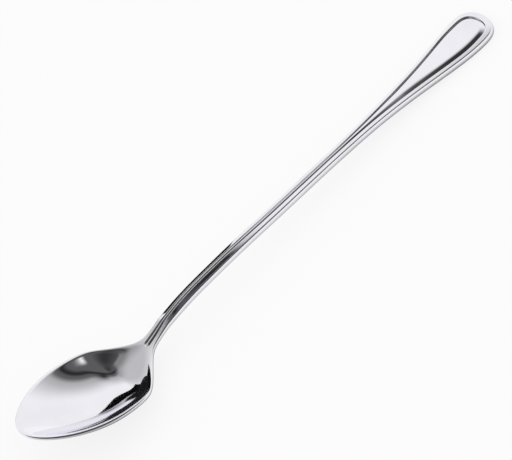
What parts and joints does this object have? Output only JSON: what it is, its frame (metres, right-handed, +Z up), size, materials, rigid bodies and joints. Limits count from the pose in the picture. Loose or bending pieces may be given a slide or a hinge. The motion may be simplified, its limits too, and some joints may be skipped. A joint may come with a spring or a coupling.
{
  "type": "iced tea spoon",
  "caption": "Long-handled polished steel spoon with a small oval bowl, a slim grooved stem and a flared rounded end for stirring tall drinks.",
  "frame": {"origin": "on the table under the middle of the spoon as it lies, hollow up, on the underside of its bowl and on its tail", "axes": "+X along the spoon from the tip of the bowl to the end of the handle, +Y to the left seen from the bowl's side, +Z up out of the hollow"},
  "size_m": [0.195, 0.032, 0.0185],
  "materials": {
    "steel": "mirror-polished stainless steel"
  },
  "bodies": {
    "root": {"bowl": "steel", "handle": "steel"}
  },
  "joints": []
}
